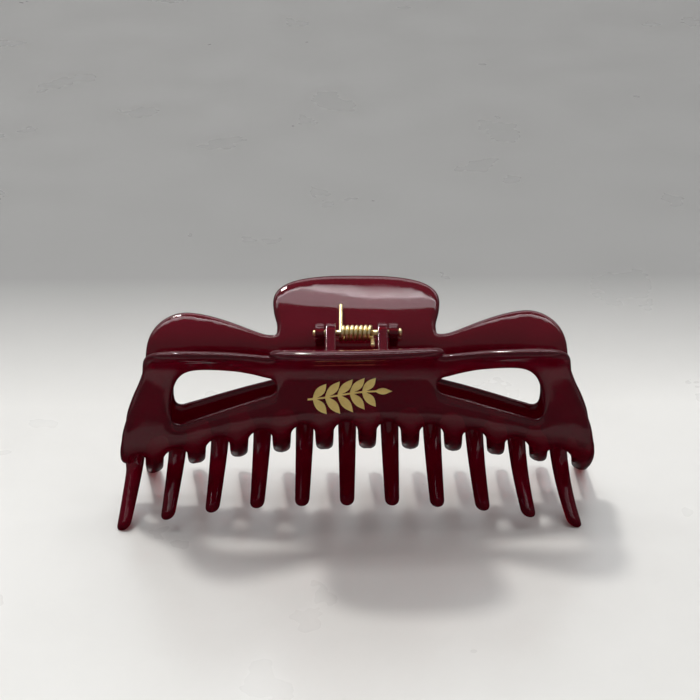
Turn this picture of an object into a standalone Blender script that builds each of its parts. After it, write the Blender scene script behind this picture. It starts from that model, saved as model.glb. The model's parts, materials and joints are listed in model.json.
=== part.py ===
"""Large claw hair clip, closed, standing on the tips of its teeth.

Two jaws of one moulded shape, the second turned half a turn about the
vertical, meet at a pivot pin. A torsion spring wound round the pin keeps
them closed. A thin gold motif sits on the face of the front jaw.

Frame: +Z up, +X along the pivot pin, the front jaw on the -Y side. The
scene origin is on the table, under the middle of the pin.
Lengths below are in millimetres and are turned into metres by MM.

A jaw is drawn as a flat pattern (x, run), where run is the arc length up
its side profile, and is then wrapped onto that profile. The profile has
coordinates (out, z): out from the middle plane, z up from the pin axis.
"""
import math

import bpy
import bmesh
import numpy as np
from mathutils import Vector
from mathutils.geometry import delaunay_2d_cdt

MM = 0.001

# ---- stance and moulding -------------------------------------------------
TIP_REACH = 44.65        # pin axis to the lowest point of an unblunted end tooth
FOOT_FLAT = 0.47         # end teeth are blunted by this much where they stand
PIVOT_Z = TIP_REACH - FOOT_FLAT
HALF_WALL = 1.2          # half of the moulding's wall thickness
EDGE_ROUND = 1.2         # width over which every edge is rounded off
SHARP_ANGLE = 50         # degrees; steeper edges are shaded sharp

# ---- teeth ---------------------------------------------------------------
TOOTH_COUNT = 11
TOOTH_PITCH = 9.95       # at the roots
TOOTH_OFFSET = 2.35      # the row of teeth sits this far off centre
TOOTH_ROOT_WIDTH = 4.4
TOOTH_TIP_WIDTH = 3.2
TIP_RADIUS = TOOTH_TIP_WIDTH / 2
TAPER_START = 14.0       # run below the waist where a tooth's taper begins
TOOTH_CENTRES = [TOOTH_OFFSET + TOOTH_PITCH * (i - (TOOTH_COUNT - 1) / 2)
                 for i in range(TOOTH_COUNT)]
VALLEY_MID = -14.5       # run of the scallops between teeth, middle
VALLEY_DROP = 3.3        # how much further down they sit at VALLEY_X
VALLEY_X = 50.0
VALLEY_POWER = 2.2
LAST_ROOT = -17.0        # run where the +x flank of the last tooth ends

# short corner lobe at the -x end of the row, in (x, run)
LOBE_SHOULDER = (-55.4, -16.8)
LOBE_CENTRE = (-53.6, -18.2)
LOBE_RADII = (1.6, 1.4)
LOBE_GAP_RISE = 0.25     # the gap beside it is centred this much higher

# ---- bending of the wrapped pattern ----------------------------------------
# each (start, span) is a distance below the waist, and the run it grows over
ARCH_DROP = 6.1          # end teeth reach this much lower than the middle
ARCH_X = TOOTH_PITCH * (TOOTH_COUNT - 1) / 2
ARCH_MARGIN = 2.2        # the arch stops growing this far beyond ARCH_X
ARCH_POWER = (1.93, 2.6)  # how the arch steepens, at the wall and at the tips
ARCH_EXTRA = 0.05        # share by which the drop grows towards the tips
ARCH_FADE = (0.0, 15.0)
ARCH_STEEPEN = (16.0, 24.0)
TOOTH_FAN = 0.055        # the row spreads this much towards the tips
FAN_GROWTH = (13.0, 28.0)
END_FLARE = 1.1          # teeth towards -x splay this much more at their tips
FLARE_ACROSS = (12.0, 35.4)   # start and span along -x
FLARE_ACROSS_MAX = 1.2
FLARE_DOWN = (26.0, 15.5)

# ---- measured lines --------------------------------------------------------
# side profile of a jaw in (out, z): flared press tab, pinched waist, upright
# wall, then teeth that curl under towards the other side
PROFILE = [
    (20.9, 5.2), (15.75, 2.6), (10.6, 0.0), (7.2, -2.2), (4.7, -4.5), (3.6, -7.0),
    (3.4, -10.0), (3.7, -14.0), (4.2, -18.0), (4.1, -21.5), (3.3, -24.8), (1.4, -27.8),
    (-1.5, -30.4), (-5.2, -32.7), (-9.4, -35.0), (-14.5, -37.5)]
WAIST_Z = -6.5           # run is counted upwards from this height

# +x half of the flat pattern in (x, run)
TAB_EDGE = [
    (0.0, 20.75), (6.0, 20.6), (11.5, 19.85), (15.8, 18.4), (18.5, 16.2), (19.6, 13.5),
    (19.4, 9.8), (18.6, 6.3), (18.7, 3.8)]
WING_EDGE = [
    (18.7, 3.8), (21.0, 3.9), (23.5, 4.7), (28.3, 6.7), (33.0, 8.45), (37.2, 9.55),
    (40.6, 9.85), (43.4, 9.1), (46.0, 7.3), (47.8, 4.9), (48.9, 1.9), (49.4, -1.6),
    (49.8, -3.1), (50.6, -4.7), (51.6, -6.3), (53.0, -8.1), (54.4, -10.4), (55.1, -12.3),
    (55.5, -14.8)]
WINDOW = [
    (19.4, -3.6), (21.5, -2.9), (24.3, -2.1), (28.2, -1.3), (32.5, -0.9), (36.3, -0.85),
    (39.1, -1.4), (41.2, -2.8), (42.4, -4.7), (43.1, -6.8), (43.3, -8.9), (42.9, -10.5),
    (41.6, -11.1), (39.6, -10.9), (36.0, -10.4), (30.4, -9.4), (25.0, -8.3), (21.0, -7.45),
    (19.2, -6.9), (18.7, -5.4)]

# ---- mesh density ----------------------------------------------------------
EDGE_STEP = 2.6          # along the tab and wing edges
FLANK_STEP = 4.6         # along the sides of the teeth
WINDOW_STEP = 2.2
ARC_STEPS = 5            # per half circle
LOBE_GAP_STEPS = 3
RIM_RING_DEPTH = 0.42    # a ring of points just inside every rim
RIM_RING = {"clearance": 0.36, "gap": 0.55}
INNER_POINTS = {"clearance": 1.05, "gap": 1.12}
TOOTH_LINE_STEP = 2.3    # along the centre line of a tooth
TOOTH_LINE_TOP = -17.0
# np.arange limits and step for run, then for x
WAIST_ROWS = ((-3.6, 6.1, 1.2), (-50.0, 50.1, 5.0))
LOOSE_GRID = ((-15.6, 20.0, 2.4), (-52.0, 52.1, 4.0))
CHORD_PASSES = 6         # most rounds of splitting rim-to-rim edges
ROUND_SIDES = 24         # pin and bore

# ---- hinge -----------------------------------------------------------------
LUG_R = 2.25
LUG_NOSE_POINTS = 13
LUG_FOOT = [(8.7, -1.25), (3.95, -5.8)]   # upper and lower foot in the wall (out, z)
INNER_LUG = (4.8, 7.1)   # |x| of the front jaw's two hinge lugs
OUTER_LUG = (7.45, 9.5)  # |x| of the rear jaw's two hinge lugs
BORE_R = 0.78
BORE_HALF = 14.0
PIN_R = 0.70
PIN_HEAD_R = 1.05
PIN_HEAD = (9.8, 10.55)  # x of the head's two faces
PIN_HEAD_FACE_R = 0.62
PIN_HEAD_BEVEL = 0.3
PIN_END = -10.1
PIN_END_R = 0.42
PIN_END_BEVEL = 0.28

# ---- spring ----------------------------------------------------------------
WIRE_R = 0.46
WIRE_SIDES = 8
COIL_R = 1.42
COIL_TURNS = 7
COIL_HALF = 3.65
COIL_STEPS = 16          # per turn
LEG_END = (10.3, 2.1)    # where each leg bears on its press tab (out, z)

# ---- motif -----------------------------------------------------------------
MOTIF_CENTRE = (-1.8, -7.2)   # (x, run)
MOTIF_GAP = 0.25
MOTIF_THICK = 0.2
STEM_X = (-9.6, 6.2)
STEM_HALF = 0.22         # half width of the stem
STEM_BOW = 0.9
STEM_PHASE = 0.2         # where on the cosine the bow starts, radians
STEM_SWEEP = 0.9         # share of a half wave that it covers
LEAF_PAIRS = 5
LEAF_FIRST = 1.2         # first leaf's distance from the stem's start
LEAF_PITCH = 2.85
LEAF_LENGTH = 4.7
LEAF_SWELL = 0.6         # the middle leaves are longer by this
LEAF_WIDTH = 1.65
LEAF_FOOT = 0.95         # width where a leaf joins the stem
LEAF_LEAN = math.radians(48)
LEAF_STEPS = 5
END_LEAF_LENGTH = 3.8
# share of the end leaf's length, half width there
END_LEAF = [(0.0, STEM_HALF), (0.2, 0.62), (0.45, 0.85), (0.75, 0.55), (1.0, 0.0)]


# ---- curves ----------------------------------------------------------------
def smooth_curve(points, closed=False, per_span=12):
    """Catmull-Rom curve through the points."""
    points = [np.array(p, float) for p in points]
    count = len(points)
    curve = []
    for i in range(count if closed else count - 1):
        if closed:
            before, start, end, after = (points[(i + k - 1) % count] for k in range(4))
        else:
            start, end = points[i], points[i + 1]
            before = points[i - 1] if i else 2 * start - end
            after = points[i + 2] if i + 2 < count else 2 * end - start
        for k in range(per_span):
            t = k / per_span
            curve.append(0.5 * (2 * start + (end - before) * t
                                + (2 * before - 5 * start + 4 * end - after) * t * t
                                + (3 * start - before - 3 * end + after) * t ** 3))
    if not closed:
        curve.append(points[-1])
    return np.array(curve)


def lengths_along(line):
    """Distance from the start of a line to each of its points."""
    return np.concatenate([[0.0], np.cumsum(np.hypot(*np.diff(line, axis=0).T))])


def even(line, step, closed=False):
    """The same line with points about one step apart."""
    if closed:
        line = np.vstack([line, line[:1]])
    lengths = lengths_along(line)
    count = int(round(lengths[-1] / step))
    stops = np.linspace(0.0, lengths[-1], count + 1)
    spaced = np.column_stack([np.interp(stops, lengths, line[:, k]) for k in (0, 1)])
    return spaced[:-1] if closed else spaced


def arc(centre, radii, start, end, steps):
    """Elliptical arc between two angles in degrees."""
    angles = np.radians(np.linspace(start, end, steps + 1))
    return np.column_stack([centre[0] + radii[0] * np.cos(angles),
                            centre[1] + radii[1] * np.sin(angles)])


# ---- wrapping --------------------------------------------------------------
def profile_table():
    """Runs up the profile, and columns out, z, outward normal's out and z."""
    line = smooth_curve(PROFILE, per_span=40)[::-1]
    lengths = lengths_along(line)
    runs = lengths - np.interp(WAIST_Z, line[:, 1], lengths)
    tangent = np.gradient(line, runs, axis=0)
    tangent /= np.hypot(tangent[:, 0], tangent[:, 1])[:, None]
    return runs, np.column_stack([line, tangent[:, 1], -tangent[:, 0]])


PROFILE_RUNS, PROFILE_COLUMNS = profile_table()
BOTTOM = PROFILE_RUNS[0]


def ramp(value, start, span, top=1.0):
    """Grows from 0 as -value passes start, by 1 per span, up to top."""
    return np.clip((-value - start) / span, 0.0, top)


def wrap(x, run, offset):
    """Flat pattern and offset from its mid surface to the front jaw's x, y, z."""
    out, z, normal_out, normal_z = (np.interp(run, PROFILE_RUNS, column)
                                    for column in PROFILE_COLUMNS.T)
    fade = ramp(run, *ARCH_FADE)
    fade = fade * fade * (3 - 2 * fade)
    low = ramp(run, *ARCH_STEEPEN)
    from_middle = np.minimum(np.abs(x - TOOTH_OFFSET * fade), ARCH_X + ARCH_MARGIN)
    power = ARCH_POWER[0] + (ARCH_POWER[1] - ARCH_POWER[0]) * low
    drop = ARCH_DROP * (1.0 + ARCH_EXTRA * low) * (from_middle / ARCH_X) ** power * fade
    spread = 1.0 + TOOTH_FAN * ramp(run, *FAN_GROWTH)
    splay = ramp(x, *FLARE_ACROSS, top=FLARE_ACROSS_MAX) ** 2 * ramp(run, *FLARE_DOWN) ** 2
    return np.column_stack([x * spread - END_FLARE * splay,
                            -(out + offset * normal_out),
                            z + offset * normal_z - drop])


# ---- flat pattern ----------------------------------------------------------
def valley(x):
    """Run of the top of a scallop between two teeth."""
    return VALLEY_MID - VALLEY_DROP * (abs(x) / VALLEY_X) ** VALLEY_POWER


def tooth_half(run):
    """Half width of a tooth."""
    taper = ramp(run, TAPER_START, -BOTTOM - TAPER_START)
    return 0.5 * (TOOTH_ROOT_WIDTH + (TOOTH_TIP_WIDTH - TOOTH_ROOT_WIDTH) * taper)


def flank(centre, side, start, end):
    """One side of a tooth, without its start point."""
    count = int(round(abs(end - start) / FLANK_STEP))
    runs = np.linspace(start, end, count + 1)[1:]
    return np.column_stack([centre + side * tooth_half(runs), runs])


def jaw_outline():
    """Outer edge of the pattern, anticlockwise from the tab's middle."""
    right = np.vstack([even(smooth_curve(TAB_EDGE), EDGE_STEP)[:-1],
                       even(smooth_curve(WING_EDGE), EDGE_STEP)])
    left = right * np.array([-1.0, 1.0])
    path = [left, np.array([LOBE_SHOULDER]),
            arc(LOBE_CENTRE, LOBE_RADII, 180, 360, ARC_STEPS)]

    lobe_end = LOBE_CENTRE[0] + LOBE_RADII[0]
    first_tooth = TOOTH_CENTRES[0] - TOOTH_ROOT_WIDTH / 2
    gap_radius = (first_tooth - lobe_end) / 2
    root = LOBE_CENTRE[1] + LOBE_GAP_RISE
    path.append(arc(((lobe_end + first_tooth) / 2, root), (gap_radius, gap_radius),
                    180, 0, LOBE_GAP_STEPS))

    tip = BOTTOM + TIP_RADIUS
    valley_radius = TOOTH_PITCH / 2 - TOOTH_ROOT_WIDTH / 2
    for centre in TOOTH_CENTRES:
        path.append(flank(centre, -1, root, tip)[:-1])
        path.append(arc((centre, tip), (TIP_RADIUS, TIP_RADIUS), 180, 360, ARC_STEPS))
        if centre == TOOTH_CENTRES[-1]:
            path.append(flank(centre, 1, tip, LAST_ROOT))
        else:
            middle = centre + TOOTH_PITCH / 2
            root = valley(middle) - valley_radius
            path.append(flank(centre, 1, tip, root)[:-1])
            path.append(arc((middle, root), (valley_radius, valley_radius),
                            180, 0, ARC_STEPS))
    path.append(right[:0:-1])
    return np.vstack(path)


def inside(loops, points):
    """Even-odd test of points against a set of loops."""
    odd = np.zeros(len(points), bool)
    for loop in loops:
        for (x0, y0), (x1, y1) in zip(loop, np.roll(loop, -1, axis=0)):
            if y0 == y1:
                continue
            level = (y0 > points[:, 1]) != (y1 > points[:, 1])
            odd ^= level & (points[:, 0] < (x1 - x0) * (points[:, 1] - y0) / (y1 - y0) + x0)
    return odd


def edge_distance(loops, points):
    """Distance from each point to the nearest edge of the loops."""
    nearest = np.full(len(points), 1e9)
    for loop in loops:
        for start, end in zip(loop, np.roll(loop, -1, axis=0)):
            edge = end - start
            share = np.clip(((points - start) @ edge) / (edge @ edge), 0.0, 1.0)
            gaps = np.hypot(*(points - start - share[:, None] * edge).T)
            nearest = np.minimum(nearest, gaps)
    return nearest


def inset(loop, depth):
    """Points moved off a loop to its left by a depth."""
    tangent = np.roll(loop, -1, axis=0) - np.roll(loop, 1, axis=0)
    tangent /= np.hypot(tangent[:, 0], tangent[:, 1])[:, None]
    return loop + depth * np.column_stack([-tangent[:, 1], tangent[:, 0]])


def thin_out(points, gap):
    """Drop points closer than gap to one already kept."""
    cells = {}
    kept = []
    for p in map(tuple, points):
        i, j = int(p[0] // gap), int(p[1] // gap)
        near = (q for a in (i - 1, i, i + 1) for b in (j - 1, j, j + 1)
                for q in cells.get((a, b), ()))
        if all((p[0] - q[0]) ** 2 + (p[1] - q[1]) ** 2 > gap * gap for q in near):
            cells.setdefault((i, j), []).append(p)
            kept.append(p)
    return np.array(kept).reshape(-1, 2)


def usable(points, loops, clearance, gap):
    """Points inside the loops, clear of the rims and of each other."""
    points = points[inside(loops, points)]
    points = points[edge_distance(loops, points) > clearance]
    return thin_out(points, gap)


def triangulate(loops, extra):
    """Points, triangles and rim point count of the region inside the loops.

    Points are added wherever an edge would cut straight from rim to rim.
    """
    rim = np.vstack(loops)
    rim_count = len(rim)
    edges = []
    base = 0
    for loop in loops:
        count = len(loop)
        edges += [(base + i, base + (i + 1) % count) for i in range(count)]
        base += count
    rim_edges = {frozenset(edge) for edge in edges}
    for _ in range(CHORD_PASSES):
        points = np.vstack([rim, extra])
        found, _, faces, origins, _, _ = delaunay_2d_cdt(
            [Vector(p) for p in points], edges, [], 0, 1e-6)
        source = {i: origin[0] for i, origin in enumerate(origins) if origin}
        found = np.array([tuple(v) for v in found])
        triangles = np.array([face for face in faces if len(face) == 3])
        triangles = triangles[inside(loops, found[triangles].mean(axis=1))]
        triangles = np.vectorize(source.get)(triangles)
        chords = set()
        for a, b, c in triangles:
            for i, j in ((a, b), (b, c), (c, a)):
                if i < rim_count and j < rim_count and frozenset((i, j)) not in rim_edges:
                    chords.add((min(i, j), max(i, j)))
        if not chords:
            break
        extra = np.vstack([extra, [(points[i] + points[j]) / 2 for i, j in sorted(chords)]])
    corners = points[triangles]
    area = np.cross(corners[:, 1] - corners[:, 0], corners[:, 2] - corners[:, 0])
    triangles[area < 0] = triangles[area < 0][:, ::-1]
    return points, triangles, rim_count


# ---- object helpers --------------------------------------------------------
def material(name, colour, roughness, metallic=0.0, coat=0.0):
    mat = bpy.data.materials.new(name)
    mat.use_nodes = True
    inputs = mat.node_tree.nodes["Principled BSDF"].inputs
    inputs["Base Color"].default_value = (*colour, 1.0)
    inputs["Roughness"].default_value = roughness
    inputs["Metallic"].default_value = metallic
    inputs["Coat Weight"].default_value = coat
    return mat


def add_object(name, verts, faces, mat, turned=False, smooth=True):
    """A mesh object whose origin is the middle of the pivot axis."""
    verts = np.asarray(verts, float) * MM
    if turned:
        verts = verts * np.array([-1.0, -1.0, 1.0])
    mesh = bpy.data.meshes.new(name)
    mesh.from_pydata([tuple(v) for v in verts], [],
                     [tuple(int(i) for i in face) for face in faces])
    mesh.validate()
    mesh.update()
    mesh.materials.append(mat)
    obj = bpy.data.objects.new(name, mesh)
    obj.location = (0.0, 0.0, PIVOT_Z * MM)
    bpy.context.scene.collection.objects.link(obj)
    if smooth:
        mesh.shade_smooth()
        mesh.set_sharp_from_angle(angle=math.radians(SHARP_ANGLE))
    return obj


def face_outwards(obj):
    bm = bmesh.new()
    bm.from_mesh(obj.data)
    bmesh.ops.recalc_face_normals(bm, faces=bm.faces)
    bm.to_mesh(obj.data)
    bm.free()


def tube_faces(sides, rings):
    """Faces of a capped tube whose vertices run ring by ring."""
    last = sides * rings - 1
    faces = [tuple(range(sides)), tuple(range(last, last - sides, -1))]
    for j in range(rings - 1):
        for k in range(sides):
            a = j * sides + k
            b = j * sides + (k + 1) % sides
            faces.append((a, a + sides, b + sides, b))
    return faces


def prism(outline, x0, x1):
    """A closed prism along x from an outline of (out, z) points."""
    verts = [(x, -out, z) for x in (x0, x1) for out, z in outline]
    return verts, tube_faces(len(outline), 2)


def circle(radius):
    angles = [2 * math.pi * k / ROUND_SIDES for k in range(ROUND_SIDES)]
    return [(radius * math.cos(a), radius * math.sin(a)) for a in angles]


def join(parts):
    verts, faces = [], []
    for part_verts, part_faces in parts:
        base = len(verts)
        verts += part_verts
        faces += [tuple(i + base for i in face) for face in part_faces]
    return verts, faces


# ---- jaws ------------------------------------------------------------------
def half_thickness(distance):
    """Half the wall at a distance from the rim, rounded off at the edge."""
    share = 1.0 - np.clip(distance / EDGE_ROUND, 0.0, 1.0)
    return HALF_WALL * np.sqrt(1.0 - share * share)


def grid(run_range, x_range):
    return [(x, run) for run in np.arange(*run_range) for x in np.arange(*x_range)]


def jaw_sheet():
    """The moulded shell of a jaw, without its lugs."""
    # windows run clockwise, so that material lies to the left of every rim
    window = even(smooth_curve(WINDOW, closed=True), WINDOW_STEP, closed=True)
    loops = [jaw_outline(), window, window[::-1] * np.array([-1.0, 1.0])]
    ring = np.vstack([inset(loop, RIM_RING_DEPTH) for loop in loops])
    tooth_lines = [(centre, run) for centre in TOOTH_CENTRES
                   for run in np.arange(BOTTOM + TIP_RADIUS, TOOTH_LINE_TOP, TOOTH_LINE_STEP)]
    # closer rows where the profile bends at the waist, then a loose grid
    inner = np.array(tooth_lines + grid(*WAIST_ROWS) + grid(*LOOSE_GRID))
    extra = np.vstack([usable(ring, loops, **RIM_RING), usable(inner, loops, **INNER_POINTS)])
    points, triangles, rim_count = triangulate(loops, extra)

    distance = edge_distance(loops, points)
    distance[:rim_count] = 0.0
    half = half_thickness(distance)
    outer = wrap(points[:, 0], points[:, 1], half)
    inner = wrap(points[rim_count:, 0], points[rim_count:, 1], -half[rim_count:])
    verts = np.vstack([outer, inner])
    verts[:, 2] = np.maximum(verts[:, 2], -PIVOT_Z)      # blunt feet on the table
    # both skins share the rim points
    shift = len(points) - rim_count
    faces = [tuple(face) for face in triangles]
    faces += [tuple((i if i < rim_count else i + shift) for i in face[::-1])
              for face in triangles]
    return verts, faces


def lug_outline():
    """Round nose about the pin, running back into the wall."""
    upper, lower = LUG_FOOT
    start = math.atan2(upper[1], upper[0]) + math.acos(LUG_R / math.hypot(*upper))
    end = math.atan2(lower[1], lower[0]) - math.acos(LUG_R / math.hypot(*lower)) + 2 * math.pi
    nose = [(LUG_R * math.cos(a), LUG_R * math.sin(a))
            for a in np.linspace(start, end, LUG_NOSE_POINTS)]
    return nose + [lower, upper]


def add_boolean(obj, operation, name, verts, faces, turned):
    """Cut or add a hidden form."""
    form = add_object(name, verts, faces, PLASTIC, turned=turned, smooth=False)
    face_outwards(form)
    form.hide_render = True
    form.display_type = "WIRE"
    mod = obj.modifiers.new(name, "BOOLEAN")
    mod.operation = operation
    mod.solver = "EXACT"
    mod.object = form


def jaw(name, sheet, lug_span, turned):
    obj = add_object(name, *sheet, PLASTIC, turned=turned)
    near, far = lug_span
    lugs = join([prism(lug_outline(), near, far), prism(lug_outline(), -far, -near)])
    bore = prism(circle(BORE_R), -BORE_HALF, BORE_HALF)
    add_boolean(obj, "UNION", name + "_lug_form", *lugs, turned)
    add_boolean(obj, "DIFFERENCE", name + "_bore_form", *bore, turned)


# ---- pin and spring --------------------------------------------------------
def pin():
    """Turned pin: a shaft with a bevelled head at +x and a bevelled tail."""
    stations = [        # x, radius
        (PIN_END, PIN_END_R),
        (PIN_END + PIN_END_BEVEL, PIN_R),
        (PIN_HEAD[0], PIN_R),
        (PIN_HEAD[0], PIN_HEAD_R),
        (PIN_HEAD[1] - PIN_HEAD_BEVEL, PIN_HEAD_R),
        (PIN_HEAD[1], PIN_HEAD_FACE_R)]
    verts = [(x, y, z) for x, radius in stations for y, z in circle(radius)]
    face_outwards(add_object("pivot_pin", verts, tube_faces(ROUND_SIDES, len(stations)), GOLD))


def spring():
    """Torsion spring: a close coil with a straight leg to each press tab."""
    lead = math.atan2(LEG_END[1], LEG_END[0]) + math.asin(COIL_R / math.hypot(*LEG_END))
    start = math.pi * 1.5 - lead - math.pi * 2     # front leg leaves the coil here
    total = 2 * math.pi * COIL_TURNS + 2 * lead
    count = int(round(COIL_STEPS * total / (2 * math.pi)))
    path = []           # x, angle about the pin, y, z
    for i in range(count + 1):
        angle = start + total * i / count
        x = COIL_HALF - 2 * COIL_HALF * i / count
        path.append((x, angle, COIL_R * math.cos(angle), COIL_R * math.sin(angle)))
    front_leg = (*path[0][:2], -LEG_END[0], LEG_END[1])
    rear_leg = (*path[-1][:2], *LEG_END)
    path = [front_leg] + path + [rear_leg]
    verts = []
    for x, angle, y, z in path:
        for k in range(WIRE_SIDES):
            turn = 2 * math.pi * (k + 0.5) / WIRE_SIDES
            radial = WIRE_R * math.cos(turn)
            verts.append((x + WIRE_R * math.sin(turn),
                          y + radial * math.cos(angle),
                          z + radial * math.sin(angle)))
    face_outwards(add_object("torsion_spring", verts, tube_faces(WIRE_SIDES, len(path)), GOLD))


# ---- motif -----------------------------------------------------------------
def stem_point(x, side):
    """Point on the upper (side 1) or lower (side -1) edge of the bowed stem."""
    share = (x - STEM_X[0]) / (STEM_X[1] - STEM_X[0])
    middle = -STEM_BOW * math.cos(math.pi * share * STEM_SWEEP + STEM_PHASE)
    return np.array([x, middle + side * STEM_HALF])


def leaf(x, side, length):
    """Outline of a leaf, out along one edge and back along the other."""
    base = stem_point(x, side)
    foot = stem_point(x + LEAF_FOOT, side)
    along = np.array([math.cos(LEAF_LEAN), side * math.sin(LEAF_LEAN)])
    across = np.array([-along[1], along[0]]) * side

    def bulge(share):
        return across * LEAF_WIDTH * math.sin(math.pi * share) * 0.5

    line = []
    for k in range(LEAF_STEPS + 1):
        share = k / LEAF_STEPS
        line.append(base + along * length * share + bulge(share))
    for k in range(1, LEAF_STEPS + 1):
        share = 1 - k / LEAF_STEPS
        line.append(base + (foot - base) * (1 - share) + along * length * share - bulge(share))
    return line


def sprig():
    """Anticlockwise outline of a slim stem with paired leaves and an end leaf."""
    upper, lower = [], []
    for i in range(LEAF_PAIRS):
        x = STEM_X[0] + LEAF_FIRST + i * LEAF_PITCH
        length = LEAF_LENGTH + LEAF_SWELL * math.sin(math.pi * i / (LEAF_PAIRS - 1))
        upper += leaf(x, 1, length)
        lower += leaf(x, -1, length)
    end = stem_point(STEM_X[1], 0)
    end_leaf = [(share, -half) for share, half in END_LEAF] + END_LEAF[-2::-1]
    tip = [end + np.array([END_LEAF_LENGTH * share, half]) for share, half in end_leaf]
    return np.array([stem_point(STEM_X[0], -1)] + lower + tip + upper[::-1]
                    + [stem_point(STEM_X[0], 1)])


def motif():
    """Thin plate in the outline of the sprig, just off the front jaw's wall."""
    points, triangles, rim_count = triangulate([sprig() + np.array(MOTIF_CENTRE)],
                                               np.zeros((0, 2)))
    low = HALF_WALL + MOTIF_GAP
    verts = np.vstack([wrap(points[:, 0], points[:, 1], offset)
                       for offset in (low, low + MOTIF_THICK)])
    count = len(points)
    faces = [tuple(face + count) for face in triangles]
    faces += [tuple(face[::-1]) for face in triangles]
    faces += [(i, (i + 1) % rim_count, (i + 1) % rim_count + count, i + count)
              for i in range(rim_count)]
    face_outwards(add_object("gold_motif", verts, faces, FOIL))


for old in list(bpy.data.objects):
    bpy.data.objects.remove(old, do_unlink=True)

PLASTIC = material("wine_plastic", colour=(0.085, 0.008, 0.018), roughness=0.12, coat=0.6)
GOLD = material("gold_wire", colour=(0.78, 0.60, 0.26), roughness=0.25, metallic=1.0)
FOIL = material("gold_foil", colour=(0.74, 0.55, 0.24), roughness=0.32, metallic=1.0)

shell = jaw_sheet()
jaw("front_jaw", shell, INNER_LUG, turned=False)
jaw("rear_jaw", shell, OUTER_LUG, turned=True)
pin()
spring()
motif()
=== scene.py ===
"""Large claw hair clip in translucent wine plastic.

The pivot pin lies along X. The front jaw faces -Y, towards the camera; the rear
jaw is the same moulded sheet given half a turn about the vertical. The teeth
reach down to the floor at z = 0 and the press tabs stand up.

The sheet is laid out flat as (x, rise), where rise is the length along the jaw's
side profile above its waist. It is thickened with rounded edges and wrapped
round the profile. Shapes are in millimetres, measured from the pin's axis;
put() turns them into metres.
"""
import json
import math

import bpy
import bmesh
import numpy as np
from mathutils import Matrix, Vector
from mathutils.geometry import delaunay_2d_cdt
from mathutils.kdtree import KDTree

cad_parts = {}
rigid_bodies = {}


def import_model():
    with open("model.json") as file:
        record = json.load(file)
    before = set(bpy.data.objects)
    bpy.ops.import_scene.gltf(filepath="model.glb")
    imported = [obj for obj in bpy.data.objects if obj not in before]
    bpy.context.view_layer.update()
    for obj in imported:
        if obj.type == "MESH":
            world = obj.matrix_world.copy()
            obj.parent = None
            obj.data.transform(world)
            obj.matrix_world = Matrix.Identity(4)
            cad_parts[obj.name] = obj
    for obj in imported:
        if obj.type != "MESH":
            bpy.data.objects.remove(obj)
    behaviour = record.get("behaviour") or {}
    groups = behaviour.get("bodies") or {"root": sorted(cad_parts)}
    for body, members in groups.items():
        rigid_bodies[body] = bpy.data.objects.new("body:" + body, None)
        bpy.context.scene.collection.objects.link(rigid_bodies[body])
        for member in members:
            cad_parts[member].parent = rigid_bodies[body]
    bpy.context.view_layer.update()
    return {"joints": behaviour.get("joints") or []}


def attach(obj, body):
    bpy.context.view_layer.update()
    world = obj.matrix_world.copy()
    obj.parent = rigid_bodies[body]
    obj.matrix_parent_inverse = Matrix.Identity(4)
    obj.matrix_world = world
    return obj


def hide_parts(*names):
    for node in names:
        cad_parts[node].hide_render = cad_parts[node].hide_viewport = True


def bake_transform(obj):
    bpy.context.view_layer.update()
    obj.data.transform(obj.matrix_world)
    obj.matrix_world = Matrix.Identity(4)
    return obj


for old in list(bpy.data.objects):
    bpy.data.objects.remove(old, do_unlink=True)

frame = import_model()

MM = 0.001
PIVOT_Z = frame["joints"][0]["pos_m"][2] / MM

# ---- sheet (mm) ----------------------------------------------------------------
HALF_WALL = 1.2
EDGE_ROUND = 2.2                 # the wall thins towards its edges over this width
RIM_TURNS = [0.0, 8.0, 17.0, 26.0, 35.0, 44.0, 52.0, 60.0]   # rings of the rim, degrees
SHEET_STEP = 0.62
GRID_HALF = 56.0                 # half width covered by the sheet's inner points
ARC_STEPS = 40

TOOTH_COUNT = 11
TOOTH_PITCH = 9.95
TOOTH_OFFSET = 2.35              # the row of teeth is shifted towards +X
TOOTH_ROOT_W = 4.4
TOOTH_TIP_W = 3.2
TAPER_DOWN = 14.0                # the teeth taper from this far below the waist
VALLEY_MID = -14.5               # rise of the valleys between teeth, at the middle
VALLEY_DROP = 3.3
LOBE = (-53.55, -18.1)           # rounded corner at the -X end: centre and radii
LOBE_RADII = (1.75, 1.55)

# ---- shaping of the wrapped sheet ------------------------------------------------
# Zones are (start, length), measured down from the waist or out from the middle.
ARCH_DROP = 6.1                  # the ends of the jaw hang lower than its middle
ARCH_X = 49.75
ARCH_POWER = (1.93, 2.6)         # at the root and at the tips of the teeth
ARCH_LOW = (16.0, 24.0)
ARCH_FULL = 15.0                 # the arch is complete this far below the waist
TOOTH_FAN = 0.055
FAN_ZONE = (13.0, 28.0)
END_FLARE = 1.1                  # the teeth near the -X end splay outwards
FLARE_SIDE = (12.0, 35.4)
FLARE_DOWN = (26.0, 15.5)
TAB_HALF = 19.5
TAB_FADE = (-24.0, -20.0)        # the tab's shaping fades between these -|x|
DISH = 0.30                      # the tab's corners curl in by this much
TWIST = 0.24                     # it is turned slightly along its length
CROWN = 0.0048                   # and bowed outwards away from CROWN_RISE
CROWN_RISE = 13.0

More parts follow.
